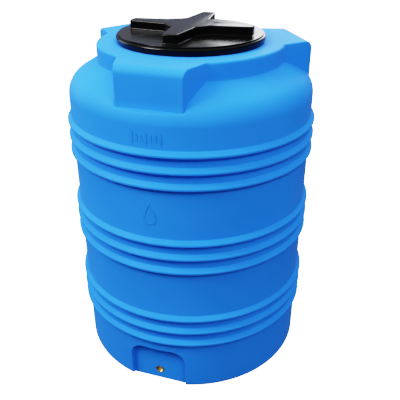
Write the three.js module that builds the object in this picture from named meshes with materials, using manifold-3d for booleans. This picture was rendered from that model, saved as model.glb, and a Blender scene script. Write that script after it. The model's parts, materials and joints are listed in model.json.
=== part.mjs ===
// An upright 300 litre water tank with a screw lid and a threaded outlet at its foot.
// Millimetres, +Z up. The origin is the middle of the base, and the outlet looks along -Y.
import * as THREE from "three";
import { mergeVertices } from "three/addons/utils/BufferGeometryUtils.js";
import Module from "manifold-3d";

const wasm = await Module();
wasm.setup();

// ---- Driving dimensions ----

const gap = 0.3; // between pieces that touch
const roundSides = 40; // flats on every large round
const smallSides = 24; // flats on the outlet's rounds
const overrun = 5; // how far a cut runs past what it cuts
const longOverrun = 20; // the same, past a curved or sloping surface

// Wall and ribs
const wallRadius = 333;
const wallThickness = 6;
const baseEdgeRadius = 13;
const ribGroups = 3;
const ribsInGroup = 3;
const groupPitch = 240.7;
const ribPitch = 41.9;
const topRibCrease = 743.5; // height of the highest rib's upper crease
const ribTall = 25.4; // crease to crease
const ribDepth = 10.3; // how far a crest stands out of the wall

// Shoulder: an arc off the wall, then a cone up to the crown
const shoulderFoot = 797.5;
const shoulderRadius = 63.3;
const coneAngle = THREE.MathUtils.degToRad(30.5);

// Crown: a flat-topped ring with three lugs
const crownTop = 926.6;
const crownRadius = 250.8;
const lugCount = 3;
const facePlane = 311; // from the axis to each lug's face and to the outlet recess
const faceHalfWidth = 84;
const lugTaper = THREE.MathUtils.degToRad(18);
const lugFillet = 14; // where a lug's side meets the ring
const lugTopRadius = 20; // over the top edge of a lug's face
const lugFoot = 829; // height of the ledge that a lug's face stands on
const ledgeWidth = 220;
const ledgeTall = 60;
const crownSink = 20; // how far the cone runs in under the crown's edge

// Outlet recess and its brass insert
const recessTop = 129;
const recessCorner = 46;
const outletHeight = 33;
const insertRadius = 12;
const insertBore = 9.5;
const insertLength = 26;
const collarRadius = 15;
const collarInset = 9; // from the insert's mouth to its collar
const collarWidth = 6;
const bossRadius = 21;

// Neck and its thread
const neckRadius = 184;
const neckBore = 175;
const neckTall = 15;
const neckSink = 3; // how far it is sunk into the crown
const threadPitch = 8;
const neckThreadTurns = 1.25;
const lidThreadTurns = 1;
const lidThreadStart = 0.5; // of a turn, where the lid's ridge begins
const threadReach = 4.5; // how far a ridge stands out of its wall
const threadRoot = 3.4; // how tall a ridge is at its wall
const threadTip = 1.6; // how tall it is at its crest
const threadSink = 1.5; // how far it is sunk into its wall
const neckThreadFoot = 2.6; // from the crown up to the middle of the lowest ridge

// Lid
const skirtRadius = 197;
const skirtBore = 191.5;
const beadRadius = 198.4;
const beadFoot = 10; // from the skirt's edge up to the bead
const beadRound = 6;
const beadStraight = 2; // its upright edge, below the round
const discRadius = 192.6;
const discTop = 948.4;
const discThickness = 3.7;
const discEdge = 0.6; // the chamfer on its rim, and how far its groove is cut in
const gripTop = 971.2;
const gripReach = 169;
const gripTipHalfWidth = 19;
const gripRootHalfWidth = 32;
const gripRoot = 61; // from the axis to where an arm starts to narrow
const gripTipCorner = 10;
const gripWall = 4.5;
const gripSink = 1; // how far it is sunk into the disc

// Gasket
const gasketThickness = 2.5;
const gasketInner = 174.5;
const gasketOuter = 190.3;

// ---- From three.js geometry to solids and back ----

function toSolid(geometry) {
  const bare = geometry.clone();
  for (const name of Object.keys(bare.attributes)) {
    if (name !== "position") bare.deleteAttribute(name);
  }
  const merged = mergeVertices(bare, 1e-3);
  const corners = merged.index.array;
  const kept = [];
  for (let i = 0; i < corners.length; i += 3) {
    const [a, b, c] = [corners[i], corners[i + 1], corners[i + 2]];
    if (a !== b && b !== c && c !== a) kept.push(a, b, c);
  }
  return new wasm.Manifold(new wasm.Mesh({
    numProp: 3,
    vertProperties: new Float32Array(merged.attributes.position.array),
    triVerts: new Uint32Array(kept),
  }));
}

function toGeometry(solid) {
  const mesh = solid.getMesh();
  const geometry = new THREE.BufferGeometry();
  geometry.setAttribute("position", new THREE.BufferAttribute(mesh.vertProperties, 3));
  geometry.setIndex(new THREE.BufferAttribute(mesh.triVerts, 1));
  geometry.computeVertexNormals();
  return geometry;
}

function joinAll(solids) {
  return solids.reduce((sum, solid) => sum.add(solid));
}

// ---- Outlines ----

function point(x, y) {
  return new THREE.Vector2(x, y);
}

// Points on an arc, ends included, from one angle to another in radians.
function arc(x, y, radius, from, to, steps) {
  const points = [];
  for (let i = 0; i <= steps; i += 1) {
    const angle = from + (to - from) * i / steps;
    points.push(point(x + radius * Math.cos(angle), y + radius * Math.sin(angle)));
  }
  return points;
}

// A profile of (radius, height) points turned about the Z axis.
function turned(profile, sides) {
  return new THREE.LatheGeometry(profile, sides).rotateX(Math.PI / 2);
}

// An outline in the XY plane, drawn up from one height to another.
function upright(outline, low, high) {
  const options = { depth: high - low, bevelEnabled: false };
  return new THREE.ExtrudeGeometry(new THREE.Shape(outline), options).translate(0, 0, low);
}

// An outline of (X, Z) points, drawn outwards along -Y from one distance to another.
function outwards(outline, near, far) {
  const options = { depth: far - near, bevelEnabled: false };
  return new THREE.ExtrudeGeometry(new THREE.Shape(outline), options)
    .rotateX(Math.PI / 2)
    .translate(0, -near, 0);
}

// Copies of a front-facing solid, one on each lug.
function onEachLug(geometry) {
  const copies = [];
  for (let i = 0; i < lugCount; i += 1) {
    copies.push(toSolid(geometry.clone().rotateZ(2 * Math.PI * i / lugCount)));
  }
  return joinAll(copies);
}

// ---- Tank shell ----

// The heights of every rib's upper crease, lowest first.
function ribCreases() {
  const creases = [];
  for (let group = ribGroups - 1; group >= 0; group -= 1) {
    for (let rib = ribsInGroup - 1; rib >= 0; rib -= 1) {
      creases.push(topRibCrease - group * groupPitch - rib * ribPitch);
    }
  }
  return creases;
}

// One rib on a wall that lies `inset` inside the outer one. The faces slope at 45 degrees.
function ribPoints(upperCrease, inset) {
  const wall = wallRadius - inset;
  const creaseShift = inset * Math.tan(Math.PI / 8);
  const low = upperCrease - ribTall + creaseShift;
  const high = upperCrease - creaseShift;
  const depth = Math.min(ribDepth, (high - low) / 2);
  const points = [point(wall, low), point(wall + depth, low + depth)];
  if (inset === 0) points.push(point(wall + depth, high - depth));
  points.push(point(wall, high));
  return points;
}

// Half of the body's section, up to inside the crown, `inset` inside the outer surface.
function bodyProfile(inset) {
  const wall = wallRadius - inset;
  const edge = baseEdgeRadius - inset;
  const round = shoulderRadius - inset;
  const shoulderAxis = wallRadius - shoulderRadius;
  const coneStart = Math.PI / 2 - coneAngle;
  const shoulder = arc(shoulderAxis, shoulderFoot, round, 0, coneStart, 5);
  const coneFoot = shoulder[shoulder.length - 1];
  const coneEnd = crownRadius - crownSink;
  const coneRise = (coneFoot.x - coneEnd) * Math.tan(coneAngle);
  return [
    point(0, inset),
    ...arc(wall - edge, inset + edge, edge, -Math.PI / 2, 0, 3),
    ...ribCreases().flatMap((crease) => ribPoints(crease, inset)),
    ...shoulder,
    point(coneEnd, coneFoot.y + coneRise),
    point(0, coneFoot.y + coneRise),
  ];
}

// The crown seen from above, `inset` inside its outer outline.
function crownOutline(inset) {
  const ring = crownRadius - inset;
  const fillet = lugFillet + inset;
  const face = facePlane - inset;
  const normal = point(Math.sin(lugTaper), Math.cos(lugTaper));
  const sideReach = facePlane * normal.x + faceHalfWidth * normal.y;
  const cornerHalfWidth = (sideReach - inset - face * normal.x) / normal.y;
  // The fillet's centre, in a frame with X out through the middle of the lug.
  const across = sideReach + lugFillet;
  const along = Math.sqrt((crownRadius + lugFillet) ** 2 - across ** 2);
  const centre = point(across * normal.x + along * normal.y, across * normal.y - along * normal.x);
  const toAxis = Math.atan2(-centre.y, -centre.x);
  const toSide = Math.atan2(-normal.y, -normal.x);
  const filletSide = arc(centre.x, centre.y, fillet, toSide, toAxis, 3);
  const lug = [
    ...filletSide.map((p) => point(p.x, -p.y)).reverse(),
    point(face, -cornerHalfWidth),
    point(face, cornerHalfWidth),
    ...filletSide,
  ];
  const lugEnd = Math.atan2(centre.y, centre.x);
  const lugStep = 2 * Math.PI / lugCount;
  const ringArc = arc(0, 0, ring, lugEnd, lugStep - lugEnd, 8).slice(1, -1);
  const origin = point(0, 0);
  const outline = [];
  for (let i = 0; i < lugCount; i += 1) {
    const turn = i * lugStep - Math.PI / 2;
    for (const p of [...lug, ...ringArc]) outline.push(p.clone().rotateAround(origin, turn));
  }
  return outline;
}

// What is taken off in front of a lug's face, down to its ledge. It starts just behind the face,
// because the crown fills that space again.
function ledgeCut(inset) {
  const behind = 1;
  const near = facePlane - inset - behind;
  const depth = wallRadius - near + longOverrun;
  const middle = lugFoot - inset + ledgeTall / 2;
  return new THREE.BoxGeometry(ledgeWidth, depth, ledgeTall).translate(0, -(near + depth / 2), middle);
}

// What is taken off to round the top edge of a lug's face.
function lugTopCut() {
  const low = crownTop - lugTopRadius;
  const outline = [
    ...arc(facePlane - lugTopRadius, low, lugTopRadius, 0, Math.PI / 2, 4),
    point(facePlane - lugTopRadius, crownTop + overrun),
    point(facePlane + overrun, crownTop + overrun),
    point(facePlane + overrun, low),
  ];
  const width = ledgeWidth + longOverrun;
  return new THREE.ExtrudeGeometry(new THREE.Shape(outline), { depth: width, bevelEnabled: false })
    .rotateX(Math.PI / 2)
    .translate(0, width / 2, 0)
    .rotateZ(-Math.PI / 2);
}

// The outlet recess, `grown` larger all round, open at the base.
function recess(grown) {
  const half = faceHalfWidth + grown;
  const top = recessTop + grown;
  const corner = recessCorner + grown;
  const outline = [
    point(-half, -longOverrun),
    point(half, -longOverrun),
    ...arc(half - corner, top - corner, corner, 0, Math.PI / 2, 6),
    ...arc(corner - half, top - corner, corner, Math.PI / 2, Math.PI, 6),
  ];
  return outwards(outline, facePlane - grown, wallRadius + longOverrun);
}

function bodySolid(inset) {
  const turnedBody = toSolid(turned(bodyProfile(inset), roundSides));
  const crown = toSolid(upright(crownOutline(inset), lugFoot - inset - overrun, crownTop - inset));
  return turnedBody.subtract(onEachLug(ledgeCut(inset))).add(crown).subtract(toSolid(recess(inset)));
}

// A round about the outlet's line, between two distances from the face of the recess inwards.
function outletRound(radius, from, to) {
  const length = to - from;
  return new THREE.CylinderGeometry(radius, radius, length, smallSides)
    .translate(0, from + length / 2 - facePlane, outletHeight);
}

// A thread ridge that climbs to the right. Reach is negative where it stands inwards.
function threadRidge(wall, reach, foot, turns) {
  const root = wall - Math.sign(reach) * threadSink;
  const tip = wall + reach;
  const section = [
    [root, -threadRoot / 2],
    [tip, -threadTip / 2],
    [tip, threadTip / 2],
    [root, threadRoot / 2],
  ];
  if (reach < 0) section.reverse();
  const steps = Math.round(turns * roundSides);
  const vertices = [];
  const faces = [];
  for (let i = 0; i <= steps; i += 1) {
    const angle = 2 * Math.PI * i / roundSides;
    const rise = foot + threadPitch * i / roundSides;
    for (const [r, z] of section) vertices.push(r * Math.cos(angle), r * Math.sin(angle), z + rise);
    if (i === 0) continue;
    for (let side = 0; side < 4; side += 1) {
      const a = 4 * (i - 1) + side;
      const b = 4 * (i - 1) + (side + 1) % 4;
      faces.push(a, a + 4, b, b, a + 4, b + 4);
    }
  }
  const last = 4 * steps;
  faces.push(0, 1, 2, 0, 2, 3, last, last + 2, last + 1, last, last + 3, last + 2);
  const geometry = new THREE.BufferGeometry();
  geometry.setAttribute("position", new THREE.Float32BufferAttribute(vertices, 3));
  geometry.setIndex(faces);
  return geometry;
}

function tankShell() {
  const neckTop = crownTop + neckTall;
  const neck = turned([
    point(0, crownTop - neckSink),
    point(neckRadius, crownTop - neckSink),
    point(neckRadius, neckTop),
    point(0, neckTop),
  ], roundSides);
  const opening = turned([
    point(0, crownTop - longOverrun),
    point(neckBore, crownTop - longOverrun),
    point(neckBore, neckTop + overrun),
    point(0, neckTop + overrun),
  ], roundSides);
  const thread = threadRidge(neckRadius, threadReach, crownTop + neckThreadFoot, neckThreadTurns);
  const boss = outletRound(bossRadius, wallThickness / 2, insertLength);
  const bore = outletRound(insertRadius + gap, -overrun, insertLength + overrun);
  const collarEnd = collarInset + collarWidth;
  const collarPocket = outletRound(collarRadius + gap, collarInset - gap, collarEnd + gap);
  return bodySolid(0)
    .subtract(onEachLug(lugTopCut()))
    .add(toSolid(neck))
    .add(toSolid(thread))
    .subtract(bodySolid(wallThickness))
    .subtract(toSolid(opening))
    .add(toSolid(boss))
    .subtract(toSolid(bore))
    .subtract(toSolid(collarPocket));
}

// ---- Outlet insert ----

function outletInsert() {
  return toSolid(outletRound(insertRadius, 0, insertLength))
    .add(toSolid(outletRound(collarRadius, collarInset, collarInset + collarWidth)))
    .subtract(toSolid(outletRound(insertBore, -overrun, insertLength + overrun)));
}

// ---- Lid ----

// The cross grip seen from above, `inset` inside its outer outline.
function gripOutline(inset) {
  const reach = gripReach - inset;
  const tip = gripTipHalfWidth - inset;
  const root = gripRootHalfWidth - inset;
  const corner = Math.max(gripTipCorner - inset, 1);
  const arm = [
    point(gripRoot - inset / 2, -root),
    ...arc(reach - corner, corner - tip, corner, -Math.PI / 2, 0, 2),
    ...arc(reach - corner, tip - corner, corner, 0, Math.PI / 2, 2),
    point(gripRoot - inset / 2, root),
  ];
  const origin = point(0, 0);
  const outline = [];
  for (let i = 0; i < 4; i += 1) {
    for (const p of arm) outline.push(p.clone().rotateAround(origin, i * Math.PI / 2));
  }
  return outline;
}

function lid() {
  const foot = crownTop + gap;
  const underside = discTop - discThickness;
  const beadAxis = beadRadius - beadRound;
  const beadTop = foot + beadFoot + beadStraight + beadRound;
  const cap = turned([
    point(0, underside),
    point(skirtBore, underside),
    point(skirtBore, foot),
    point(skirtRadius, foot),
    point(skirtRadius, foot + beadFoot),
    ...arc(beadAxis, beadTop - beadRound, beadRound, 0, Math.PI / 2, 3),
    point(discRadius - discEdge, beadTop),
    point(discRadius - discEdge, discTop - discEdge),
    point(discRadius - 2 * discEdge, discTop),
    point(0, discTop),
  ], roundSides);
  const grip = upright(gripOutline(0), discTop - gripSink, gripTop);
  const gripHollow = upright(gripOutline(gripWall), underside - overrun, gripTop - gripWall);
  const ridgeFoot = crownTop + neckThreadFoot + threadPitch * (lidThreadStart - 0.5);
  const thread = threadRidge(skirtBore, -threadReach, ridgeFoot, lidThreadTurns)
    .rotateZ(2 * Math.PI * lidThreadStart);
  return toSolid(cap)
    .add(toSolid(thread))
    .add(toSolid(grip))
    .subtract(toSolid(gripHollow));
}

// ---- Gasket ----

function lidGasket() {
  const low = crownTop + neckTall + gap;
  return turned([
    point(gasketInner, low),
    point(gasketOuter, low),
    point(gasketOuter, low + gasketThickness),
    point(gasketInner, low + gasketThickness),
    point(gasketInner, low),
  ], roundSides);
}

// ---- The assembly ----

const bluePolyethylene = new THREE.MeshStandardMaterial({ color: 0x1a7ad6, roughness: 0.5, metalness: 0 });
const brass = new THREE.MeshStandardMaterial({ color: 0xb8964a, roughness: 0.35, metalness: 1 });
const blackPlastic = new THREE.MeshStandardMaterial({ color: 0x0a0a0c, roughness: 0.18, metalness: 0 });
const blackRubber = new THREE.MeshStandardMaterial({ color: 0x151515, roughness: 0.8, metalness: 0 });

const group = new THREE.Group();

function addPiece(name, geometry, material) {
  const mesh = new THREE.Mesh(geometry, material);
  mesh.name = name;
  group.add(mesh);
}

addPiece("tank_shell", toGeometry(tankShell()), bluePolyethylene);
addPiece("outlet_insert", toGeometry(outletInsert()), brass);
addPiece("lid_gasket", lidGasket(), blackRubber);
addPiece("lid", toGeometry(lid()), blackPlastic);

export default group;
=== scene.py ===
"""Looks of an upright 300 litre livestock water tank: a ribbed polyethylene shell with three
lifting lugs, a black screw lid with a cross grip, its gasket, and a brass outlet insert.
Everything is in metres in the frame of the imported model."""

import json
import math

import bmesh
import bpy
from mathutils import Matrix, Vector


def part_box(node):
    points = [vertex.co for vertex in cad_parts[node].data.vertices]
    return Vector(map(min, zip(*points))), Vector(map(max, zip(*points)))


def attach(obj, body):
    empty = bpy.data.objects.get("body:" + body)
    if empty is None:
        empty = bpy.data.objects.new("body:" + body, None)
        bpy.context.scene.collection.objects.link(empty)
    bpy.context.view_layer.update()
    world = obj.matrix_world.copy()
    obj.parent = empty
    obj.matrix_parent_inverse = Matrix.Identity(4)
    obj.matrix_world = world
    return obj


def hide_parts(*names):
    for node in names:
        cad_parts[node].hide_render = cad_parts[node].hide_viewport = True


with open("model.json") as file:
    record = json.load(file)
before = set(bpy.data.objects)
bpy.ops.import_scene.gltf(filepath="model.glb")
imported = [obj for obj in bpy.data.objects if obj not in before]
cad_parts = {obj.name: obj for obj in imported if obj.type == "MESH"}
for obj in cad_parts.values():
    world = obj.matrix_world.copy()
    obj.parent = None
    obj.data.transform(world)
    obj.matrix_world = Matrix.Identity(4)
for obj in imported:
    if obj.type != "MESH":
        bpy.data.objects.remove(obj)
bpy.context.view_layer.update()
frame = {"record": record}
tank_low, tank_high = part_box("tank_shell")
lid_low, lid_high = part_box("lid")
seal_low, seal_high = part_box("lid_gasket")
insert_low, insert_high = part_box("outlet_insert")
mounts = {mount["name"]: mount for mount in frame["record"]["mounts"]}

mm = 0.001

# ---- Driving dimensions ----

# Wall and ribs
wall_thickness = 6 * mm
rib_depth = 10.3 * mm
rib_tall = 25.4 * mm
rib_pitch = 41.9 * mm
rib_groups = 3
ribs_in_group = 3
group_pitch = 240.7 * mm
top_rib_crease = 743.5 * mm
rib_crest_round = 2.25 * mm
rib_foot_round = 2.2 * mm
base_edge_round = 13 * mm
inner_rib_narrower = 2.5 * mm
inner_rib_foot_round = 2 * mm
inner_rib_crest_round = 3 * mm
inner_base_round = 8 * mm
inner_low_ring = 60 * mm
inner_crown_margin = 1 * mm
inner_step_drop = 2 * mm
inner_step_height = 4 * mm
wall_radius = tank_high.x - rib_depth

# Shoulder
shoulder_foot = 797.5 * mm
shoulder_round = 63.3 * mm
cone_angle = math.radians(30.5)

# Crown, lugs and neck
neck_tall = 15 * mm
crown_top = tank_high.z - neck_tall
crown_radius = 250.8 * mm
ring_edge_round = 6 * mm
lug_count = 3
face_plane = -mounts["outlet_face"]["pos_m"][1]
face_half_width = 84 * mm
lug_taper = math.radians(18)
lug_corner_round = 3 * mm
lug_side_edge_round = 2.6 * mm
lug_fillet = 14 * mm
lug_top_round = 20 * mm
lug_foot = 829 * mm
lug_side_edge_width = 5 * mm
ledge_cap_rise = 60 * mm
ledge_fade = math.radians(2.5)
ledge_blend = 3 * mm
crown_foot_round = 2 * mm
crown_roll_margin = 4 * mm
neck_radius = 184 * mm
neck_bore = 175 * mm
neck_foot_round = 1.5 * mm
neck_edge_round = 1.2 * mm
neck_margin = 6 * mm

# Outlet recess and insert
recess_top = 129 * mm
recess_corner = 46 * mm
recess_draft = math.radians(1)
recess_outer_round = 2 * mm
recess_inner_round = 2 * mm
recess_foot_round = 3 * mm
recess_least_depth = 0.4 * mm
recess_margin = 12 * mm
recess_rise_steps = 16
recess_reach = math.radians(18.0)
recess_inner_reach = math.radians(16.9)
outlet_height = (insert_low.z + insert_high.z) / 2
collar_radius = insert_high.x
insert_radius = 12 * mm
insert_bore = 9.5 * mm
insert_length = insert_high.y - insert_low.y
collar_inset = 9 * mm
collar_width = 6 * mm
boss_radius = 21 * mm
gap = 0.3 * mm
bore_chamfer = 0.8 * mm
bore_overrun = 5 * mm
insert_thread_pitch = 1.8 * mm
insert_thread_depth = 0.95 * mm
insert_thread_lead = 1.2 * mm
insert_mouth = 0.6 * mm
insert_end_round = 0.35 * mm
insert_inner_round = 0.2 * mm
collar_round = 0.4 * mm

# Threads
thread_pitch = 8 * mm
thread_reach = 4.5 * mm
neck_thread_turns = 1.25
neck_thread_foot = 2.6 * mm
lid_thread_turns = 1.0
lid_thread_start = 0.5
thread_rise = 0.4 * mm
thread_root_half = 1.7 * mm
thread_tip_half = 0.8 * mm
thread_tip_round = 0.7 * mm
thread_sink = 1.5 * mm

# Gasket
gasket_bore = 174.5 * mm
gasket_edge_round = 0.8 * mm

# Lid
skirt_radius = 197 * mm
skirt_bore = 191.5 * mm
bead_radius = lid_high.x
bead_foot = 10 * mm
bead_tall = 8 * mm
bead_round = 6 * mm
disc_radius = 192.6 * mm
disc_top = 948.4 * mm
disc_thickness = 3.7 * mm
disc_margin = 4 * mm
groove_radius = 191 * mm
groove_depth = 2.4 * mm
grip_top = lid_high.z
grip_reach = 169 * mm
grip_tip_half = 19 * mm
grip_root_half = 32 * mm
grip_root = 61 * mm
grip_tip_round = 10 * mm
grip_root_round = 9 * mm
grip_edge_round = 3.2 * mm
grip_foot_round = 3 * mm
grip_wall = 4.5 * mm
grip_mouth = 1 * mm
grip_hollow_bevel = 1.5 * mm
grip_least_round = 0.8 * mm

# Raised marks
mark_relief = 0.9 * mm
mark_sink = 1.5 * mm
tick_count = 7
tick_pitch = 12 * mm
tick_half_width = 1.6 * mm
tick_round = 1.2 * mm
long_tick_half = 15 * mm
short_tick_half = 9 * mm
drop_half_width = 23 * mm
drop_half_height = 31 * mm
drop_taper = 1.6
drop_inner_share = 0.86
drop_below_middle = 52 * mm

# Tolerances
merge_distance = 0.001 * mm
least_edge = 0.0001 * mm
least_length = 0.000001 * mm
least_turn = 0.0001


# ---- Outlines ----

def rounded(corners, steps=None):
    """Points of a path whose inner corners (x, y, radius) are rounded to that radius."""
    points = [corners[0][:2]]
    for before, (x, y, radius), after in zip(corners, corners[1:], corners[2:]):
        corner = Vector((x, y))
        back = (Vector(before[:2]) - corner).normalized()
        ahead = (Vector(after[:2]) - corner).normalized()
        between = back.angle(ahead)
        turn = math.pi - between
        if radius <= 0 or turn < least_turn:
            points.append((x, y))
            continue
        centre = corner + (back + ahead).normalized() * radius / math.sin(between / 2)
        first = corner + back * radius / math.tan(between / 2) - centre
        last = corner + ahead * radius / math.tan(between / 2) - centre
        count = steps or max(2, math.ceil(turn / math.radians(13)))
        for i in range(count + 1):
            share = i / count
            spoke = (first * math.sin((1 - share) * turn) + last * math.sin(share * turn)) / math.sin(turn)
            points.append(tuple(centre + spoke))
    points.append(corners[-1][:2])
    return points


def closed_round(corners, steps):
    """The same for an outline that closes on itself."""
    ring = [corners[-1], *corners, corners[0]]
    return rounded(ring, steps)[1:-1]


def spread(start, end, count):
    """Evenly spaced values, ends included."""
    return [start + (end - start) * i / count for i in range(count + 1)]


def soft_min(a, b, width):
    """The lower of two values, with the corner between them rounded over that width."""
    blend = max(width - abs(a - b), 0) / width
    return min(a, b) - blend * blend * width / 4


def smooth_step(value):
    """From 0 to 1 as value goes from 0 to 1, level at both ends."""
    value = min(max(value, 0), 1)
    return value * value * (3 - 2 * value)


# ---- Meshes ----

def object_of(name, shape):
    """A new object from a bmesh, which is freed."""
    mesh = bpy.data.meshes.new(name)
    shape.to_mesh(mesh)
    shape.free()
    made = bpy.data.objects.new(name, mesh)
    bpy.context.scene.collection.objects.link(made)
    return made


def mesh_object(name, vertices, faces):
    """A new object from vertices and faces, with doubled vertices merged and normals outwards."""
    draft = bpy.data.meshes.new(name)
    draft.from_pydata([tuple(v) for v in vertices], [], faces)
    shape = bmesh.new()
    shape.from_mesh(draft)
    bpy.data.meshes.remove(draft)
    bmesh.ops.remove_doubles(shape, verts=shape.verts, dist=merge_distance)
    bmesh.ops.dissolve_degenerate(shape, edges=shape.edges, dist=least_edge)
    bmesh.ops.recalc_face_normals(shape, faces=shape.faces)
    return object_of(name, shape)


def strip_faces(rows, columns, wrap):
    """Quads of a grid whose vertices run column by column within each row."""
    faces = []
    for row in range(rows - 1):
        for column in range(columns if wrap else columns - 1):
            after = (column + 1) % columns
            low, high = row * columns, (row + 1) * columns
            faces.append((low + column, low + after, high + after, high + column))
    return faces


def circle(radius, sides):
    """Points (x, y) evenly spaced round the axis."""
    angles = [2 * math.pi * i / sides for i in range(sides)]
    return [(radius * math.cos(angle), radius * math.sin(angle)) for angle in angles]


def turned(name, profile, sides):
    """A closed profile of (radius, height) points turned about Z."""
    vertices = []
    for radius, height in profile:
        vertices += [(x, y, height) for x, y in circle(radius, sides)]
    return mesh_object(name, vertices, strip_faces(len(profile), sides, True))


def combine(target, tool, operation):
    """Joins tool to target, or cuts it out of target, and deletes tool."""
    step = target.modifiers.new(operation, "BOOLEAN")
    step.operation = operation
    step.solver = "MANIFOLD"
    step.object = tool
    bpy.context.view_layer.objects.active = target
    for other in bpy.context.selected_objects:
        other.select_set(False)
    target.select_set(True)
    bpy.ops.object.modifier_apply(modifier=step.name)
    bpy.data.objects.remove(tool)


def merged(name, parts):
    """One object that holds the meshes of several that don't touch."""
    shape = bmesh.new()
    for part in parts:
        shape.from_mesh(part.data)
        bpy.data.objects.remove(part)
    return object_of(name, shape)


def finish_piece(piece, body, slot, material, *nodes, crease=32):
    """Smooths the piece, gives it its material, puts it under its body's empty and hides the CAD nodes it
    stands in for.
    """
    piece.data.shade_smooth()
    piece.data.set_sharp_from_angle(angle=math.radians(crease))
    piece.data.materials.clear()
    piece.data.materials.append(material)
    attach(piece, body)
    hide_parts(*nodes)
    return piece


def helix_ridge(name, wall, reach, foot, turns, start):
    """A thread ridge that climbs to the right and fades out at both ends.
    Reach is negative where it stands inwards."""
    sides = 144
    root = wall - math.copysign(thread_sink, reach)
    count = round(turns * sides)
    fade = 9
    vertices = []
    for i in range(count + 1):
        angle = 2 * math.pi * (i / sides + start)
        middle = foot + thread_pitch * i / sides
        height = smooth_step(min(i, count - i) / fade)
        tip = wall + reach * height + (root - wall) * (1 - height) * 0.5
        corners = [(root, -thread_root_half, 0), (tip, -thread_tip_half, thread_tip_round),
                   (tip, thread_tip_half, thread_tip_round), (root, thread_root_half, 0)]
        for radius, rise in rounded(corners, 3):
            vertices.append((radius * math.cos(angle), radius * math.sin(angle), middle + rise))
    section = len(vertices) // (count + 1)
    faces = strip_faces(count + 1, section, True)
    faces.append(tuple(range(section)))
    faces.append(tuple(range(count * section, (count + 1) * section)))
    return mesh_object(name, vertices, faces)


# ---- Tank shell ----

def rib_creases():
    """Heights of every rib's upper crease, lowest first."""
    lowest = top_rib_crease - (rib_groups - 1) * group_pitch - (ribs_in_group - 1) * rib_pitch
    return [lowest + group * group_pitch + rib * rib_pitch
            for group in range(rib_groups) for rib in range(ribs_in_group)]


def shoulder_height(radius, inset=0.0):
    """Height of the plain shoulder and cone, `inset` inside the outer surface."""
    round_radius = shoulder_round - inset
    axis = wall_radius - shoulder_round
    cone_start = axis + round_radius * math.sin(cone_angle)
    if radius >= cone_start:
        reach = min((radius - axis) / round_radius, 1)
        return shoulder_foot + round_radius * math.sqrt(1 - reach * reach)
    return shoulder_foot + round_radius * math.cos(cone_angle) + (cone_start - radius) * math.tan(cone_angle)


def shoulder_path(foot_radius, cap, inset, count):
    """Points up the shoulder from the wall to foot_radius, evenly along its length."""
    round_radius = shoulder_round - inset
    axis = wall_radius - shoulder_round
    cone_start = axis + round_radius * math.sin(cone_angle)
    full_arc = math.pi / 2 - cone_angle
    arc = math.acos(min((foot_radius - axis) / round_radius, 1)) if foot_radius > cone_start else full_arc
    cone = max(cone_start - foot_radius, 0) / math.cos(cone_angle)
    points = []
    for along in spread(0, arc * round_radius + cone, count):
        if along <= arc * round_radius + least_length:
            radius = axis + round_radius * math.cos(along / round_radius)
        else:
            radius = cone_start - (along - arc * round_radius) * math.cos(cone_angle)
        points.append((radius, soft_min(shoulder_height(radius, inset), cap - inset, ledge_blend)))
    return points


def half_lug():
    """Half of the crown's outline round one lug, from the middle of its face to midway to the next.
    Each entry is (point, how high its edge's round is, how wide that round is along the radius).
    X points out through the middle of the lug."""
    normal = Vector((math.sin(lug_taper), math.cos(lug_taper)))
    side_reach = face_plane * normal.x + face_half_width * normal.y
    across = side_reach + lug_fillet
    along = math.sqrt((crown_radius + lug_fillet) ** 2 - across ** 2)
    centre = Vector((across * normal.x + along * normal.y, across * normal.y - along * normal.x))
    fillet_start = centre - normal * lug_fillet
    to_axis = (-centre).normalized()
    face_wide = lug_top_round
    side_wide = lug_side_edge_width

    corner = rounded([(face_plane, 0), (face_plane, face_half_width, lug_corner_round),
                      tuple(fillet_start)], 6)[1:-1]
    corner_start = corner[0][1]
    entries = []
    for y in spread(0, corner_start, 11)[:-1]:
        entries.append((Vector((face_plane, y)), 0, face_wide))
    for i, place in enumerate(corner):
        share = smooth_step(i / (len(corner) - 1))
        wide = face_wide + (side_wide - face_wide) * share
        entries.append((Vector(place), share * lug_side_edge_round, wide))
    corner_end = Vector(corner[-1])
    side_steps = 6
    for i in range(1, side_steps):
        entries.append((corner_end.lerp(fillet_start, i / side_steps), lug_side_edge_round, side_wide))
    fillet_steps = 7
    for i in range(fillet_steps + 1):
        share = i / fillet_steps
        spoke = (-normal).slerp(to_axis, share) if 0 < share < 1 else (to_axis if share else -normal)
        edge = lug_side_edge_round + (ring_edge_round - lug_side_edge_round) * share
        wide = side_wide + (ring_edge_round - side_wide) * share
        entries.append((centre + spoke * lug_fillet, edge, wide))
    ring_start = math.atan2(centre.y, centre.x)
    for angle in spread(ring_start, math.pi / lug_count, 20)[1:]:
        place = Vector((math.cos(angle), math.sin(angle))) * crown_radius
        entries.append((place, ring_edge_round, ring_edge_round))
    return entries


def tank_columns():
    """Every upright strip of the shell, starting with the middle of the front lug. Each holds its
    direction, its angle from its lug's middle, its radius at the crown and its edge's round."""
    half = half_lug()
    mirrored = [(Vector((p.x, -p.y)), edge, wide) for p, edge, wide in half[-2:0:-1]]
    columns = []
    for i in range(lug_count):
        for lug, entries in ((i, half), ((i + 1) % lug_count, mirrored)):
            for place, edge, wide in entries:
                from_middle = math.atan2(place.y, place.x)
                angle = -math.pi / 2 + lug * 2 * math.pi / lug_count + from_middle
                columns.append({
                    "direction": Vector((math.cos(angle), math.sin(angle))),
                    "off": from_middle,
                    "lug": lug,
                    "radius": place.length,
                    "edge": edge,
                    "wide": wide,
                })
    return columns


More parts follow.
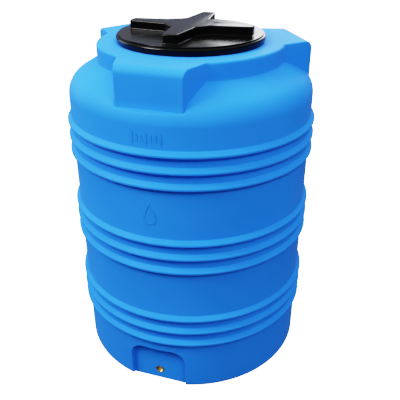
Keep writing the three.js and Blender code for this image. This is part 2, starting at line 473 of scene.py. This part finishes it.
def lug_height(column, radius, inset=0.0):
    """Height of the crown's top, which rolls over towards each lug's face."""
    plane = face_plane - inset
    roll = lug_top_round - inset
    depth = plane - radius * math.cos(column["off"])
    if depth >= roll:
        return crown_top - inset
    depth = max(depth, 0)
    return crown_top - inset - roll + math.sqrt(roll * roll - (roll - depth) ** 2)


def ledge_cap(column):
    """Height of the ledge in front of a lug's face; it runs out beyond the face's corners."""
    corner = math.atan2(face_half_width, face_plane)
    beyond = smooth_step((abs(column["off"]) - corner) / ledge_fade)
    return lug_foot + beyond * ledge_cap_rise


def wall_profile():
    """The wall's outer section from the base up to the shoulder, as (radius, height), and how many
    of its points lie at or below the top of the recess's patch."""
    crest = wall_radius + rib_depth
    base = rounded([(0, 0), (wall_radius, 0, base_edge_round), (wall_radius, 1)], 7)[1:-1]
    patch_top = recess_top + recess_margin
    plain = [(wall_radius, z) for z in spread(base[-1][1], patch_top, recess_rise_steps)[1:]]
    corners = [(wall_radius, patch_top)]
    for crease in rib_creases():
        low = crease - rib_tall
        corners.append((wall_radius, low, rib_foot_round))
        corners.append((crest, low + rib_depth, rib_crest_round))
        corners.append((crest, crease - rib_depth, rib_crest_round))
        corners.append((wall_radius, crease, rib_foot_round))
    corners.append((wall_radius, shoulder_foot))
    ribs = rounded(corners, 4)[1:-1]
    return base + plain + ribs, len(base) + len(plain)


def base_radius(height):
    """The wall's radius near the base, where its edge is rounded."""
    if height >= base_edge_round:
        return wall_radius
    drop = base_edge_round - height
    return wall_radius - base_edge_round + math.sqrt(base_edge_round ** 2 - drop ** 2)


def outer_section(column, wall):
    """One strip's outer section, from the base's edge up to the neck's foot."""
    radius = column["radius"]
    slope = shoulder_path(radius, ledge_cap(column), 0, 14)
    edge_low = lug_height(column, radius) - column["edge"]
    foot = rounded([slope[-2], (*slope[-1], crown_foot_round), (radius, edge_low)], 3)[1:-1]
    points = wall + slope[:-1] + foot
    points += [(radius, z) for z in spread(foot[-1][1], edge_low, 4)[1:-1]]
    turns = spread(0, math.pi / 2, 8)
    wide = column["wide"] / (math.cos(column["off"]) if column["edge"] == 0 else 1)
    for turn in turns:
        place = radius - wide * (1 - math.cos(turn))
        points.append((place, lug_height(column, place) - column["edge"] * (1 - math.sin(turn))))
    rolled = radius - max(wide, lug_top_round + crown_roll_margin)
    for place in spread(points[-1][0], rolled, 4)[1:] + spread(rolled, neck_radius + neck_margin, 4)[1:]:
        points.append((place, lug_height(column, place)))
    return points


def neck_section():
    """The neck's section, up its outside and down its bore to the crown's underside."""
    neck_top = crown_top + neck_tall
    underside = crown_top - wall_thickness
    return rounded([(neck_radius + neck_margin, crown_top), (neck_radius, crown_top, neck_foot_round),
                    (neck_radius, neck_top, neck_edge_round), (neck_bore, neck_top, neck_edge_round),
                    (neck_bore, underside, neck_edge_round), (neck_bore + neck_margin, underside)], 4)[1:-1]


def inner_section(column, step_columns):
    """One strip's inner section, from the mouth back down to the middle of the floor."""
    outer = column["radius"] - wall_thickness - inner_crown_margin
    mouth = neck_bore + neck_margin
    inner_wall = wall_radius - wall_thickness
    points = [(r, lug_height(column, r, wall_thickness)) for r in spread(mouth, outer, 6)]
    slope = shoulder_path(outer, ledge_cap(column), wall_thickness, 10)
    points += list(reversed(slope))
    corners = [(inner_wall, shoulder_foot)]
    for crease in reversed(rib_creases()):
        middle = crease - rib_tall / 2
        half = rib_tall / 2 - inner_rib_narrower
        corners.append((inner_wall, middle + half, inner_rib_foot_round))
        corners.append((inner_wall + half, middle, inner_rib_crest_round))
        corners.append((inner_wall, middle - half, inner_rib_foot_round))
    step_top = recess_top + recess_margin - inner_step_drop
    corners.append((inner_wall, step_top))
    points += rounded(corners, 3)[1:]
    low_wall = inner_wall
    if step_columns:
        low_wall = min(inner_wall, (face_plane - wall_thickness) / math.cos(column["off"]))
    points += [(low_wall, step_top - inner_step_height), (low_wall, inner_low_ring)]
    points += rounded([(low_wall, inner_low_ring), (low_wall, wall_thickness, inner_base_round),
                       (0, wall_thickness)], 4)[1:-1]
    return points


def recess_side(depth):
    """The recess's side from the wall in to its floor, as (distance in from the outline, depth)."""
    turn = math.pi / 2 - recess_draft
    wanted = (recess_outer_round + recess_inner_round) * (1 - math.cos(turn))
    scale = min(1, 0.9 * depth / wanted)
    outer = recess_outer_round * scale
    inner = recess_inner_round * scale
    straight = depth - (outer + inner) * (1 - math.cos(turn))
    points = []
    for angle in spread(0, turn, 4)[1:]:
        points.append((outer * math.sin(angle), outer * (1 - math.cos(angle))))
    across, deep = points[-1]
    across += straight * math.tan(recess_draft)
    deep += straight
    points.append((across, deep))
    for angle in spread(turn, 0, 5)[1:]:
        points.append((across + inner * (math.sin(turn) - math.sin(angle)),
                       deep + inner * (math.cos(angle) - math.cos(turn))))
    return points


def recess_outline(rows, columns_across):
    """Places on the recess's outline as (x, z, inward x, inward z), up one side, over the top and
    down the other, matched to the wall's rows and columns round the patch."""
    straight = recess_top - recess_corner
    quarter = recess_corner * math.pi / 2
    flat = face_half_width - recess_corner

    def at(length):
        """A place on the left half, that far up from where the base's edge round ends."""
        up = straight - base_edge_round
        if length <= up:
            return -face_half_width, base_edge_round + length, 1.0, 0.0
        if length <= up + quarter:
            angle = (length - up) / recess_corner
            return (-flat - recess_corner * math.cos(angle), straight + recess_corner * math.sin(angle),
                    math.cos(angle), -math.sin(angle))
        return -flat + (length - up - quarter), recess_top, 0.0, -1.0

    low = [row for row in rows if row < base_edge_round - least_length]
    left = [(-face_half_width, z, 1.0, 0.0) for z in low]
    diagonal = straight - base_edge_round + quarter / 2
    left += [at(length) for length in spread(0, diagonal, len(rows) - len(low) - 1)]
    top = [at(length) for length in spread(diagonal, diagonal + quarter / 2 + flat, columns_across // 2)[1:]]
    half = left + top
    return half + [(-x, z, -nx, nz) for x, z, nx, nz in reversed(half[:-1])]


def tank_shell_mesh():
    """The closed shell: the outer loft, the neck, the inner loft, the recess's patch and the base."""
    wall, patch_rows = wall_profile()
    columns = tank_columns()
    count = len(columns)
    ahead = [i for i, c in enumerate(columns) if c["lug"] == 0 and 0 <= c["off"] <= recess_reach]
    edge = ahead[-1] + 1
    in_patch = [i % count for i in range(-edge, edge + 1)]

    sections = []
    for column in columns:
        stepped = column["lug"] == 0 and abs(column["off"]) < recess_inner_reach
        sections.append(outer_section(column, wall) + neck_section() + inner_section(column, stepped))
    rows = len(sections[0])
    vertices = []
    for row in range(rows):
        for column, section in zip(columns, sections):
            radius, height = section[row]
            vertices.append((column["direction"].x * radius, column["direction"].y * radius, height))
    skipped = set(in_patch[:-1])
    faces = []
    for face in strip_faces(rows, count, True):
        row, column = divmod(face[0], count)
        if row < patch_rows - 1 and column in skipped:
            continue
        faces.append(face)
    faces.append(tuple((rows - 1) * count + i for i in range(count)))

    # The recess's patch, loop by loop from the wall's grid in to the floor.
    heights = [z for _, z in wall[:patch_rows]]
    border = [row * count + in_patch[0] for row in range(patch_rows)]
    border += [(patch_rows - 1) * count + i for i in in_patch[1:]]
    border += [row * count + in_patch[-1] for row in range(patch_rows - 2, -1, -1)]
    outline = recess_outline(heights, len(in_patch) - 1)
    leg = patch_rows - 1

    def wall_place(angle, z):
        radius = base_radius(z)
        return Vector((radius * math.sin(angle), -radius * math.cos(angle), z))

    def floor_depth(z):
        if z >= recess_foot_round:
            return face_plane
        drop = recess_foot_round - z
        return face_plane - recess_foot_round + math.sqrt(recess_foot_round ** 2 - drop ** 2)

    loops = [border]
    shares_in = (0.2, 0.4, 0.58, 0.74, 0.88, 1.0)
    for share in shares_in:
        loop = []
        for index, (x, z, _, _) in zip(border, outline):
            place = Vector(vertices[index])
            from_angle = math.atan2(place.x, -place.y)
            to_angle = math.asin(x / base_radius(z))
            angle = from_angle + (to_angle - from_angle) * share
            loop.append(len(vertices))
            vertices.append(tuple(wall_place(angle, place.z + (z - place.z) * share)))
        loops.append(loop)
    sides = []
    for x, z, _, _ in outline:
        wall_y = math.sqrt(base_radius(z) ** 2 - x * x)
        sides.append(recess_side(max(wall_y - floor_depth(z), recess_least_depth)))
    for step in range(len(sides[0])):
        loop = []
        for side, (x, z, in_x, in_z) in zip(sides, outline):
            across, deep = side[step]
            share = deep / side[-1][1]
            px, pz = x + in_x * across, z + in_z * across
            wall_y = math.sqrt(base_radius(pz) ** 2 - px * px)
            y = wall_y + (floor_depth(pz) - wall_y) * share
            loop.append(len(vertices))
            vertices.append((px, -y, pz))
        loops.append(loop)
    for outer, inner in zip(loops, loops[1:]):
        for i in range(len(outer) - 1):
            faces.append((outer[i], outer[i + 1], inner[i + 1], inner[i]))

    # The recess's floor, a grid between the two legs and under the top of the last loop.
    last = loops[-1]
    across = len(last) - 2 * leg - 1
    grid = [[last[row] for row in range(leg + 1)]]
    grid += [[None] * leg + [last[leg + column]] for column in range(1, across)]
    grid += [[last[-1 - row] for row in range(leg + 1)]]
    low_left = Vector(vertices[last[0]])
    head_left = Vector(vertices[last[leg]])
    head_right = Vector(vertices[last[leg + across]])
    for column in range(1, across):
        u = column / across
        head = Vector(vertices[last[leg + column]])
        for row in range(leg):
            left, right = Vector(vertices[last[row]]), Vector(vertices[last[-1 - row]])
            v = (left.z - low_left.z) / (head_left.z - low_left.z)
            head_straight = head_left.x * (1 - u) + head_right.x * u
            x = left.x * (1 - u) + right.x * u + (head.x - head_straight) * v
            z = left.z + (head.z - head_left.z) * v
            grid[column][row] = len(vertices)
            vertices.append((x, -floor_depth(z), z))
    for column in range(across):
        for row in range(leg):
            faces.append((grid[column][row], grid[column + 1][row],
                          grid[column + 1][row + 1], grid[column][row + 1]))

    # The underside, one flat face round the whole base.
    bottom = list(range(edge, count - edge))
    bottom += [loop[0] for loop in loops]
    bottom += [grid[column][0] for column in range(1, across)]
    bottom += [loop[-1] for loop in reversed(loops[1:])]
    faces.append(tuple(bottom))
    return mesh_object("tank_shell_looks", vertices, faces)


# From the Z axis onto the outlet's axis, which runs in from the recess's floor.
onto_outlet = Matrix.Translation((0, -face_plane, outlet_height)) @ Matrix.Rotation(-math.pi / 2, 4, "X")


def along_outlet(name, profile, sides):
    """A closed profile of (radius, distance in from the outlet's face) turned about the outlet."""
    made = turned(name, profile, sides)
    made.data.transform(onto_outlet)
    return made


def capped(profile):
    """A profile with both its ends drawn to the axis."""
    return [(0, profile[0][1]), *profile, (0, profile[-1][1])]


def build_tank_shell(material):
    shell = tank_shell_mesh()
    boss = along_outlet("boss", capped([(boss_radius, wall_thickness / 2), (boss_radius, insert_length)]), 64)
    combine(shell, boss, "UNION")
    free = insert_radius + gap
    pocket = collar_radius + gap
    collar_end = collar_inset + collar_width
    bore = along_outlet("bore", capped([
        (free + bore_chamfer, -bore_overrun), (free + bore_chamfer, 0), (free, bore_chamfer),
        (free, collar_inset - gap),
        (pocket, collar_inset - gap), (pocket, collar_end + gap), (free, collar_end + gap),
        (free, insert_length + bore_overrun)]), 64)
    combine(shell, bore, "DIFFERENCE")
    ridge_foot = crown_top + neck_thread_foot + thread_rise
    ridge = helix_ridge("neck_ridge", neck_radius, thread_reach, ridge_foot, neck_thread_turns, 0)
    combine(shell, ridge, "UNION")
    combine(shell, merged("marks", raised_marks()), "UNION")
    shell.name = "tank_shell_looks"
    return finish_piece(shell, "tank", "shell", material, "tank_shell")


# ---- Raised marks on the wall ----

def on_wall(name, outline, holes, middle_height):
    """A flat outline of (across, up) points, which may have holes, wrapped onto the wall's front
    and raised from it."""
    shape = bmesh.new()
    sunk = wall_radius - mark_sink
    raised = wall_radius + mark_relief
    rings = []
    for ring in [outline, *holes]:
        corners = [shape.verts.new((x, 0, z)) for x, z in ring]
        edges = [shape.edges.new((a, b)) for a, b in zip(corners, corners[1:] + corners[:1])]
        rings.append(edges)
    bmesh.ops.triangle_fill(shape, edges=[e for ring in rings for e in ring], use_beauty=True)
    bmesh.ops.recalc_face_normals(shape, faces=shape.faces)
    front = list(shape.faces)
    grown = bmesh.ops.extrude_face_region(shape, geom=front, use_keep_orig=True)
    back = [v for v in grown["geom"] if isinstance(v, bmesh.types.BMVert)]
    depth = {v: raised for v in shape.verts}
    for v in back:
        depth[v] = sunk
    for v in shape.verts:
        angle = v.co.x / wall_radius
        radius = depth[v]
        v.co = Vector((radius * math.sin(angle), -radius * math.cos(angle), middle_height + v.co.z))
    bmesh.ops.recalc_face_normals(shape, faces=shape.faces)
    return object_of(name, shape)


def drop_outline(share):
    """A water drop seen from the front, as (across, up), at a share of its full size."""
    sides = 64
    points = []
    for i in range(sides):
        angle = 2 * math.pi * i / sides
        taper = math.sin(angle / 2) ** drop_taper
        across = drop_half_width * share * math.sin(angle) * taper
        points.append((across, drop_half_height * share * math.cos(angle)))
    return points


def raised_marks():
    """A row of plain ticks above the top ribs, and a plain water drop between the rib groups."""
    marks = []
    tick_middle = (top_rib_crease + shoulder_foot) / 2
    for i in range(tick_count):
        x = (i - (tick_count - 1) / 2) * tick_pitch
        half_tall = long_tick_half if i % 3 == 0 else short_tick_half
        left = x - tick_half_width
        right = x + tick_half_width
        corners = [(left, -half_tall, tick_round), (right, -half_tall, tick_round),
                   (right, half_tall, tick_round), (left, half_tall, tick_round)]
        marks.append(on_wall(f"tick_{i}", closed_round(corners, 3), [], tick_middle))
    drop_middle = top_rib_crease - group_pitch / 2 - drop_below_middle
    marks.append(on_wall("drop", drop_outline(1), [drop_outline(drop_inner_share)], drop_middle))
    return marks


# ---- Outlet insert ----

def build_insert(material):
    """A brass bush with a fine inner thread, flush with the recess's floor."""
    sides = 48
    rows_per_turn = 8
    back = insert_length
    mouth = insert_bore + insert_mouth
    collar_end = collar_inset + collar_width
    outer = rounded([(mouth, 0), (insert_radius, 0, insert_end_round),
                     (insert_radius, collar_inset, insert_inner_round),
                     (collar_radius, collar_inset, collar_round),
                     (collar_radius, collar_end, collar_round),
                     (insert_radius, collar_end, insert_inner_round),
                     (insert_radius, back, insert_end_round), (mouth, back)], 3)
    bore_places = spread(back, 0, round(back / insert_thread_pitch * rows_per_turn))
    vertices = []
    for radius, place in outer:
        vertices += [(x, y, place) for x, y in circle(radius, sides)]
    for place in bore_places[1:-1]:
        from_end = smooth_step(min(place, back - place) / insert_thread_lead)
        for i in range(sides):
            angle = 2 * math.pi * i / sides
            phase = (place / insert_thread_pitch + i / sides) % 1
            groove = insert_thread_depth * (1 - abs(2 * phase - 1)) * from_end
            flare = insert_mouth * (1 - from_end)
            radius = insert_bore + groove + flare
            vertices.append((radius * math.cos(angle), radius * math.sin(angle), place))
    rows = len(vertices) // sides
    faces = strip_faces(rows, sides, True)
    faces += [((rows - 1) * sides + i, (rows - 1) * sides + (i + 1) % sides, (i + 1) % sides, i)
              for i in range(sides)]
    insert = mesh_object("outlet_insert_looks", vertices, faces)
    insert.data.transform(onto_outlet)
    return finish_piece(insert, "tank", "insert", material, "outlet_insert", crease=40)


# ---- Gasket ----

def build_gasket(material):
    """A flat rubber ring with rounded edges."""
    outer = seal_high.x
    low = seal_low.z
    high = seal_high.z
    edge = gasket_edge_round
    corners = [(gasket_bore, low, edge), (outer, low, edge), (outer, high, edge), (gasket_bore, high, edge)]
    profile = closed_round(corners, 4)
    gasket = turned("lid_gasket_looks", [*profile, profile[0]], 160)
    return finish_piece(gasket, "seal", "gasket", material, "lid_gasket")


# ---- Lid ----

def grip_outline(inset):
    """The cross grip seen from above, `inset` inside its own outline, or outside where negative."""
    tip = Vector((grip_reach, grip_tip_half))
    root = Vector((grip_root, grip_root_half))
    side = (root - tip).normalized()
    side_in = Vector((side.y, -side.x))
    if side_in.y > 0:
        side_in = -side_in
    shift = side_in * inset
    slope = side.y / side.x
    # Where the moved side meets the moved end of the arm, and the moved chamfer between two arms.
    end_x = grip_reach - inset
    tip_moved = Vector((end_x, (tip + shift).y + slope * (end_x - (tip + shift).x)))
    chamfer_sum = root.x + root.y - inset * math.sqrt(2)
    base = tip + shift
    root_x = (chamfer_sum - base.y + slope * base.x) / (1 + slope)
    root_moved = Vector((root_x, chamfer_sum - root_x))
    tip_round = max(grip_tip_round - inset, grip_least_round)
    root_round = grip_root_round + inset
    arm = [(root_moved.x, -root_moved.y, root_round), (tip_moved.x, -tip_moved.y, tip_round),
           (tip_moved.x, tip_moved.y, tip_round), (root_moved.x, root_moved.y, root_round)]
    corners = []
    for i in range(4):
        turn = Matrix.Rotation(i * math.pi / 2, 2)
        for x, y, radius in arm:
            place = turn @ Vector((x, y))
            corners.append((place.x, place.y, radius))
    return closed_round(corners, 6)


def add_loop(shape, points, height):
    """New vertices at (x, y) points, all at one height."""
    return [shape.verts.new((x, y, height)) for x, y in points]


def bridge(shape, lower, upper):
    """A band of faces between two loops of the same length."""
    count = len(lower)
    for i in range(count):
        after = (i + 1) % count
        shape.faces.new((lower[i], lower[after], upper[after], upper[i]))


def ring_edges(shape, loop):
    """The edges round a closed loop, made where they are missing."""
    return [shape.edges.get((a, b)) or shape.edges.new((a, b)) for a, b in zip(loop, loop[1:] + loop[:1])]


def build_lid(material):
    """The screw lid: skirt, bead, groove and disc turned about Z, and the hollow cross grip."""
    shape = bmesh.new()
    sides = 192
    foot = lid_low.z
    underside = disc_top - disc_thickness
    bead_low = foot + bead_foot
    bead_top = bead_low + bead_tall
    groove_floor = disc_top - groove_depth
    profile = rounded([
        (skirt_bore - disc_margin, underside), (skirt_bore, underside, 1.5 * mm),
        (skirt_bore, foot, 1.2 * mm), (skirt_radius, foot, 1.2 * mm), (skirt_radius, bead_low, 0.6 * mm),
        (bead_radius, bead_low + 1.2 * mm, 0.8 * mm), (bead_radius, bead_top, bead_round),
        (groove_radius, bead_top, 0.5 * mm), (groove_radius, groove_floor, 0.4 * mm),
        (disc_radius, groove_floor, 0.5 * mm), (disc_radius, disc_top, 1.3 * mm),
        (disc_radius - disc_margin, disc_top)])
    loops = []
    for radius, height in profile:
        loops.append(add_loop(shape, circle(radius, sides), height))
    for lower, upper in zip(loops, loops[1:]):
        bridge(shape, lower, upper)

    # Outside of the grip, from its foot's fillet to its top.
    outer = []
    for turn in spread(0, math.pi / 2, 5):
        outer.append(add_loop(shape, grip_outline(-grip_foot_round * (1 - math.sin(turn))),
                              disc_top + grip_foot_round * (1 - math.cos(turn))))
    for turn in spread(0, math.pi / 2, 6):
        outer.append(add_loop(shape, grip_outline(grip_edge_round * (1 - math.cos(turn))),
                              grip_top - grip_edge_round * (1 - math.sin(turn))))
    for lower, upper in zip(outer, outer[1:]):
        bridge(shape, lower, upper)
    shape.faces.new(outer[-1])
    bmesh.ops.triangle_fill(shape, edges=ring_edges(shape, loops[-1]) + ring_edges(shape, outer[0]),
                            use_beauty=True)

    # Inside of the grip, open from below.
    hollow_top = grip_top - grip_wall
    inner = [add_loop(shape, grip_outline(grip_wall - grip_mouth), underside),
             add_loop(shape, grip_outline(grip_wall), underside + grip_mouth),
             add_loop(shape, grip_outline(grip_wall), hollow_top - grip_hollow_bevel),
             add_loop(shape, grip_outline(grip_wall + grip_hollow_bevel), hollow_top)]
    for lower, upper in zip(inner, inner[1:]):
        bridge(shape, upper, lower)
    shape.faces.new(list(reversed(inner[-1])))
    bmesh.ops.triangle_fill(shape, edges=ring_edges(shape, loops[0]) + ring_edges(shape, inner[0]),
                            use_beauty=True)
    bmesh.ops.remove_doubles(shape, verts=shape.verts, dist=merge_distance)
    bmesh.ops.recalc_face_normals(shape, faces=shape.faces)
    lid = object_of("lid_looks", shape)
    ridge_foot = crown_top + neck_thread_foot + thread_pitch * (lid_thread_start - 0.5) + thread_rise
    ridge = helix_ridge("lid_ridge", skirt_bore, -thread_reach, ridge_foot,
                        lid_thread_turns, lid_thread_start)
    combine(lid, ridge, "UNION")
    return finish_piece(lid, "cap", "lid", material, "lid")


# ---- Materials ----

blue_dark = (0.023, 0.172, 0.67, 1)
blue_light = (0.026, 0.182, 0.70, 1)
brass_dark = (0.50, 0.30, 0.075, 1)
brass_light = (0.72, 0.50, 0.17, 1)


def new_material(name):
    """A material with its nodes, its links and its shader."""
    material = bpy.data.materials.new(name)
    material.use_nodes = True
    nodes = material.node_tree.nodes
    shader = nodes["Principled BSDF"]
    return material, nodes, material.node_tree.links, shader


def noise(nodes, links, scale, detail, roughness=0.5):
    """Noise that is fixed to the object, with that many waves to the metre."""
    place = nodes.get("Texture Coordinate") or nodes.new("ShaderNodeTexCoord")
    made = nodes.new("ShaderNodeTexNoise")
    made.inputs["Scale"].default_value = scale
    made.inputs["Detail"].default_value = detail
    made.inputs["Roughness"].default_value = roughness
    links.new(place.outputs["Object"], made.inputs["Vector"])
    return made


def ramp(nodes, links, source, low, high, start=0.3, end=0.7):
    """Turns a value into a colour between low and high."""
    made = nodes.new("ShaderNodeValToRGB")
    made.color_ramp.elements[0].position = start
    made.color_ramp.elements[1].position = end
    made.color_ramp.elements[0].color = low
    made.color_ramp.elements[1].color = high
    links.new(source, made.inputs["Fac"])
    return made


def grey(value):
    return (value, value, value, 1)


def add_bump(nodes, links, shader, layers):
    """Stacks (height output, strength, distance) layers onto the shader's normal."""
    last = None
    for height, strength, distance in layers:
        bump = nodes.new("ShaderNodeBump")
        bump.inputs["Strength"].default_value = strength
        bump.inputs["Distance"].default_value = distance
        links.new(height, bump.inputs["Height"])
        if last:
            links.new(last.outputs["Normal"], bump.inputs["Normal"])
        last = bump
    links.new(last.outputs["Normal"], shader.inputs["Normal"])


def blue_polyethylene():
    material, nodes, links, shader = new_material("blue_polyethylene")
    cloud = noise(nodes, links, 7, 3)
    colour = ramp(nodes, links, cloud.outputs["Fac"], blue_dark, blue_light)
    links.new(colour.outputs["Color"], shader.inputs["Base Color"])
    haze = noise(nodes, links, 55, 4)
    rough = ramp(nodes, links, haze.outputs["Fac"], grey(0.55), grey(0.65))
    links.new(rough.outputs["Color"], shader.inputs["Roughness"])
    peel = noise(nodes, links, 420, 2)
    wave = noise(nodes, links, 24, 2)
    layers = [(wave.outputs["Fac"], 0.25, 0.6 * mm), (peel.outputs["Fac"], 0.18, 0.12 * mm)]
    add_bump(nodes, links, shader, layers)
    shader.inputs["Specular IOR Level"].default_value = 0.06
    shader.inputs["Sheen Weight"].default_value = 0.05
    shader.inputs["Sheen Roughness"].default_value = 0.35
    return material


def black_lid_plastic():
    material, nodes, links, shader = new_material("black_lid_plastic")
    cloud = noise(nodes, links, 30, 3)
    colour = ramp(nodes, links, cloud.outputs["Fac"], grey(0.0016), grey(0.0030))
    links.new(colour.outputs["Color"], shader.inputs["Base Color"])
    rough = ramp(nodes, links, noise(nodes, links, 70, 5).outputs["Fac"], grey(0.16), grey(0.24))
    links.new(rough.outputs["Color"], shader.inputs["Roughness"])
    wave = noise(nodes, links, 60, 2)
    add_bump(nodes, links, shader, [(wave.outputs["Fac"], 0.06, 0.3 * mm)])
    shader.inputs["Specular IOR Level"].default_value = 0.18
    return material


def brass():
    material, nodes, links, shader = new_material("brass")
    cloud = noise(nodes, links, 160, 4)
    colour = ramp(nodes, links, cloud.outputs["Fac"], brass_dark, brass_light)
    links.new(colour.outputs["Color"], shader.inputs["Base Color"])
    rough = ramp(nodes, links, noise(nodes, links, 500, 4).outputs["Fac"], grey(0.22), grey(0.42))
    links.new(rough.outputs["Color"], shader.inputs["Roughness"])
    shader.inputs["Metallic"].default_value = 1
    add_bump(nodes, links, shader, [(noise(nodes, links, 900, 3).outputs["Fac"], 0.2, 0.05 * mm)])
    return material


def black_rubber():
    material, nodes, links, shader = new_material("black_rubber")
    cloud = noise(nodes, links, 90, 4)
    colour = ramp(nodes, links, cloud.outputs["Fac"], grey(0.010), grey(0.018))
    links.new(colour.outputs["Color"], shader.inputs["Base Color"])
    rough = ramp(nodes, links, cloud.outputs["Fac"], grey(0.65), grey(0.85))
    links.new(rough.outputs["Color"], shader.inputs["Roughness"])
    add_bump(nodes, links, shader, [(noise(nodes, links, 700, 3).outputs["Fac"], 0.3, 0.08 * mm)])
    return material


# ---- Camera ----

def add_camera():
    """A 50 mm lens on a 36 mm frame, looking down at the recess's side from a little to the right."""
    away = 1.5109
    height = 1.2439
    round_to = math.radians(18.41)
    tilt = math.radians(62.01)
    heading = math.radians(17.5)
    data = bpy.data.cameras.new("camera")
    data.lens = 50
    data.sensor_width = 36
    camera = bpy.data.objects.new("camera", data)
    camera.location = (away * math.sin(round_to), -away * math.cos(round_to), height)
    camera.rotation_euler = (tilt, 0, heading)
    bpy.context.scene.collection.objects.link(camera)
    bpy.context.scene.camera = camera


# ---- Floor and light ----

# Light that shows as white, light that shows as half, and how steeply light turns into brightness
white_level = 2.8
middle_light = 0.455
tone_contrast = 1.5
sky_low = (0.09, 0.10, 0.13, 1)
sky_middle = (0.26, 0.28, 0.37, 1)
sky_high = (1.0, 1.0, 1.0, 1)
sky_middle_at = 0.12


def add_floor():
    """A pale floor that glows as white as the background, just under the tank."""
    half = 40.0
    floor = mesh_object("floor", [(-half, -half, 0), (half, -half, 0), (half, half, 0), (-half, half, 0)],
                        [(0, 1, 2, 3)])
    floor.location.z = tank_low.z - 0.5 * mm
    material, nodes, links, shader = new_material("floor_white")
    shader.inputs["Base Color"].default_value = (0.9, 0.9, 0.9, 1)
    shader.inputs["Roughness"].default_value = 0.9
    shader.inputs["Emission Color"].default_value = (1, 1, 1, 1)
    shader.inputs["Emission Strength"].default_value = white_level
    floor.data.materials.append(material)
    floor.visible_diffuse = False
    floor.visible_glossy = False


def add_area_light(name, place, aim, size, power, glossy=True):
    """A round soft light at a place, turned towards its aim."""
    data = bpy.data.lights.new(name, "AREA")
    data.shape = "DISK"
    data.size = size
    data.energy = power
    light = bpy.data.objects.new(name, data)
    light.location = place
    light.rotation_euler = (Vector(aim) - Vector(place)).to_track_quat("-Z", "Y").to_euler()
    light.visible_camera = False
    light.visible_glossy = glossy
    bpy.context.scene.collection.objects.link(light)


def add_world():
    """A soft sky that is brightest overhead and dark below, and that the camera sees as plain white."""
    world = bpy.data.worlds.new("studio")
    world.use_nodes = True
    nodes, links = world.node_tree.nodes, world.node_tree.links
    sky = nodes["Background"]
    direction = nodes.new("ShaderNodeTexCoord")
    split = nodes.new("ShaderNodeSeparateXYZ")
    links.new(direction.outputs["Generated"], split.inputs["Vector"])
    height = nodes.new("ShaderNodeValToRGB")
    stops = height.color_ramp.elements
    stops[0].position = 0.0
    stops[0].color = sky_low
    stops[1].position = 1.0
    stops[1].color = sky_high
    middle = stops.new(sky_middle_at)
    middle.color = sky_middle
    links.new(split.outputs["Z"], height.inputs["Fac"])
    links.new(height.outputs["Color"], sky.inputs["Color"])
    sky.inputs["Strength"].default_value = 1
    plain = nodes.new("ShaderNodeBackground")
    plain.inputs["Color"].default_value = grey(1)
    plain.inputs["Strength"].default_value = white_level
    path = nodes.new("ShaderNodeLightPath")
    choice = nodes.new("ShaderNodeMixShader")
    links.new(path.outputs["Is Camera Ray"], choice.inputs["Fac"])
    links.new(sky.outputs["Background"], choice.inputs[1])
    links.new(plain.outputs["Background"], choice.inputs[2])
    links.new(choice.outputs["Shader"], nodes["World Output"].inputs["Surface"])
    bpy.context.scene.world = world


def add_lights():
    middle = (0, 0, 0.6)
    top = (0, 0, 0.95)
    add_area_light("overhead", (-0.4, 0.7, 3.0), top, size=2.4, power=48, glossy=False)
    add_area_light("front_left", (-2.1, -1.8, 2.9), middle, size=1.6, power=158)
    add_area_light("front_right", (2.0, -1.75, 3.0), middle, size=1.8, power=94, glossy=False)
    add_area_light("back_panel", (0.13, 3.2, 2.0), top, size=2.0, power=38)
    add_area_light("left_panel", (-3.0, 0.6, 1.4), top, size=1.6, power=15)


def set_tone():
    """A soft film-like curve: deep shadows, bright mid-tones and a slow shoulder up to white."""
    view = bpy.context.scene.view_settings
    view.view_transform = "Standard"
    view.use_curve_mapping = True
    mapping = view.curve_mapping
    mapping.white_level = (white_level,) * 3
    curve = mapping.curves[3]
    steps = 12
    for i in range(1, steps):
        light = white_level * (i / steps) ** 2
        strength = (light / middle_light) ** tone_contrast
        curve.points.new(light / white_level, strength / (1 + strength))
    mapping.update()


add_camera()
blue = blue_polyethylene()
build_tank_shell(blue)
build_insert(brass())
build_gasket(black_rubber())
build_lid(black_lid_plastic())
add_floor()
add_world()
add_lights()
set_tone()
